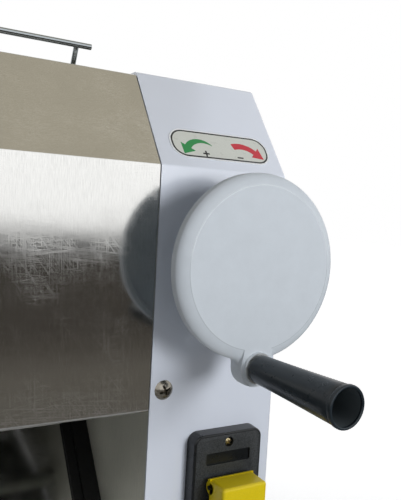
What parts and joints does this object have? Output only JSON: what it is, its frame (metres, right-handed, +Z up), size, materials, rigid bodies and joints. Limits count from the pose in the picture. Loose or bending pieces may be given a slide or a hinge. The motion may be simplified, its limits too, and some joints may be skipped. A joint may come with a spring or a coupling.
{
  "type": "electric dough sheeter",
  "caption": "Tabletop electric pasta roller with side housings, front thickness dial with revolving grip, wire feed guard, discharge chute and push-button switch.",
  "frame": {"origin": "centre of the bounding box, on the plane the rubber feet stand on", "axes": "+X to the right seen from the front, +Y to the back, +Z up; the front panels face -Y"},
  "size_m": [0.4383, 0.4254, 0.3961],
  "materials": {
    "white_enamel": "semi-gloss powder coat, very light grey-white",
    "dial_enamel": "semi-gloss paint on a casting",
    "stainless": "brushed stainless sheet",
    "galvanised": "zinc-plated steel",
    "bright_steel": "polished steel",
    "shaft_steel": "turned steel",
    "gear_steel": "oiled machined steel",
    "bronze": "machined bronze",
    "block_iron": "machined cast iron",
    "zinc_screws": "bright zinc-plated",
    "motor_paint": "dark machine enamel",
    "motor_castings": "die-cast aluminium",
    "black_rubber": "moulded rubber",
    "black_bakelite": "glossy moulded bakelite",
    "black_plastic": "finely textured moulded plastic",
    "brass_screws": "yellow-passivated screws",
    "label_film": "printed film",
    "capacitor_can": "moulded can",
    "yellow_plastic": "glossy moulded plastic",
    "red_plastic": "glossy moulded plastic",
    "green_plastic": "glossy moulded plastic"
  },
  "bodies": {
    "frame": {"right_side_plate": "stainless", "left_side_plate": "stainless", "tie_bars": "galvanised", "base_tray": "galvanised", "right_cover": "white_enamel", "left_cover": "white_enamel", "cover_screws": "zinc_screws", "front_hood": "stainless", "rear_hood": "stainless", "front_hopper_plate": "stainless", "rear_hopper_plate": "stainless", "chute": "stainless", "chute_side_guides": "black_plastic", "rear_roller_bushes": "bronze", "gear_bridge": "galvanised", "shaft_bushes": "bronze", "v_belt": "black_rubber", "motor_housing": "motor_paint", "motor_end_shields": "motor_castings", "motor_cradle": "galvanised", "start_capacitor": "capacitor_can", "dial_bracket": "galvanised", "dial_flange": "bright_steel", "thickness_label": "label_film", "switch_plate": "black_plastic", "switch_body": "black_plastic", "switch_screws": "brass_screws", "rear_scraper": "stainless", "rubber_feet": "black_rubber", "foot_screws": "zinc_screws", "cord_gland": "black_plastic", "guard_brackets": "bright_steel"},
    "rear_roller": {"rear_roller": "bright_steel", "rear_link_gear": "gear_steel", "reduction_gear": "gear_steel"},
    "front_roller": {"front_roller": "bright_steel", "front_link_gear": "gear_steel"},
    "roller_carriage": {"bearing_blocks": "block_iron", "front_roller_bushes": "bronze", "front_scraper": "stainless"},
    "countershaft": {"countershaft": "shaft_steel", "countershaft_pinion": "gear_steel", "driven_pulley": "block_iron"},
    "motor_shaft": {"motor_rotor": "shaft_steel", "motor_fan": "black_plastic", "motor_pulley": "block_iron"},
    "dial": {"dial_disc": "dial_enamel", "dial_shaft": "shaft_steel", "worm": "shaft_steel", "grip_spindle": "bright_steel", "grip_ferrule": "bright_steel"},
    "grip": {"handle_grip": "black_bakelite"},
    "cross_shaft": {"cross_shaft": "shaft_steel", "worm_wheel": "bronze", "rack_pinions": "gear_steel"},
    "flap": {"switch_flap": "yellow_plastic"},
    "mushroom": {"stop_mushroom": "red_plastic"},
    "start_button": {"start_button": "green_plastic"},
    "stop_button": {"stop_button": "red_plastic"},
    "feed_guard": {"feed_guard": "bright_steel"}
  },
  "joints": [
    {"name": "rear_roller_spin", "type": "hinge", "parent": "frame", "child": "rear_roller", "pos_m": [0, 0.049, 0.269], "axis": [1, 0, 0], "continuous": true},
    {"name": "front_roller_spin", "type": "hinge", "parent": "roller_carriage", "child": "front_roller", "pos_m": [0, -0.009, 0.269], "axis": [1, 0, 0], "continuous": true},
    {"name": "countershaft_spin", "type": "hinge", "parent": "frame", "child": "countershaft", "pos_m": [-0.16915, 0.09399, 0.21538], "axis": [1, 0, 0], "continuous": true},
    {"name": "motor_spin", "type": "hinge", "parent": "frame", "child": "motor_shaft", "pos_m": [-0.13915, 0.12, 0.082], "axis": [1, 0, 0], "continuous": true},
    {"name": "dial_turn", "type": "hinge", "parent": "frame", "child": "dial", "pos_m": [0.16085, -0.085, 0.2526], "axis": [0, -1, 0], "range_deg": [-180, 450]},
    {"name": "cross_shaft_turn", "type": "hinge", "parent": "frame", "child": "cross_shaft", "pos_m": [0, -0.009, 0.2226], "axis": [1, 0, 0], "range_deg": [-9, 22.5]},
    {"name": "roller_gap_slide", "type": "slide", "parent": "frame", "child": "roller_carriage", "axis": [0, -1, 0], "range_m": [-0.00157, 0.00393]},
    {"name": "grip_spin", "type": "hinge", "parent": "dial", "child": "grip", "pos_m": [0.16085, -0.145, 0.1902], "axis": [0, -1, 0], "continuous": true},
    {"name": "flap_lift", "type": "hinge", "parent": "frame", "child": "flap", "pos_m": [0.16835, -0.101, 0.101], "axis": [-1, 0, 0], "range_deg": [0, 85]},
    {"name": "mushroom_press", "type": "slide", "parent": "flap", "child": "mushroom", "axis": [0, 1, 0], "range_m": [0, 0.003], "stiffness_N_per_m": 300},
    {"name": "start_press", "type": "slide", "parent": "frame", "child": "start_button", "axis": [0, 1, 0], "range_m": [0, 0.003], "stiffness_N_per_m": 300},
    {"name": "stop_press", "type": "slide", "parent": "frame", "child": "stop_button", "axis": [0, 1, 0], "range_m": [0, 0.003], "stiffness_N_per_m": 300},
    {"name": "guard_lift", "type": "hinge", "parent": "frame", "child": "feed_guard", "pos_m": [0, 0.08, 0.372], "axis": [-1, 0, 0], "range_deg": [0, 95]}
  ],
  "couplings": [
    {"joint": "front_roller_spin", "follows": "rear_roller_spin", "ratio": -1},
    {"joint": "countershaft_spin", "follows": "rear_roller_spin", "ratio": -3.375},
    {"joint": "motor_spin", "follows": "rear_roller_spin", "ratio": -10.607},
    {"joint": "cross_shaft_turn", "follows": "dial_turn", "ratio": 0.05},
    {"joint": "roller_gap_slide", "follows": "dial_turn", "m_per_rad": 0.0005},
    {"joint": "stop_press", "follows": "mushroom_press", "ratio": 1}
  ]
}
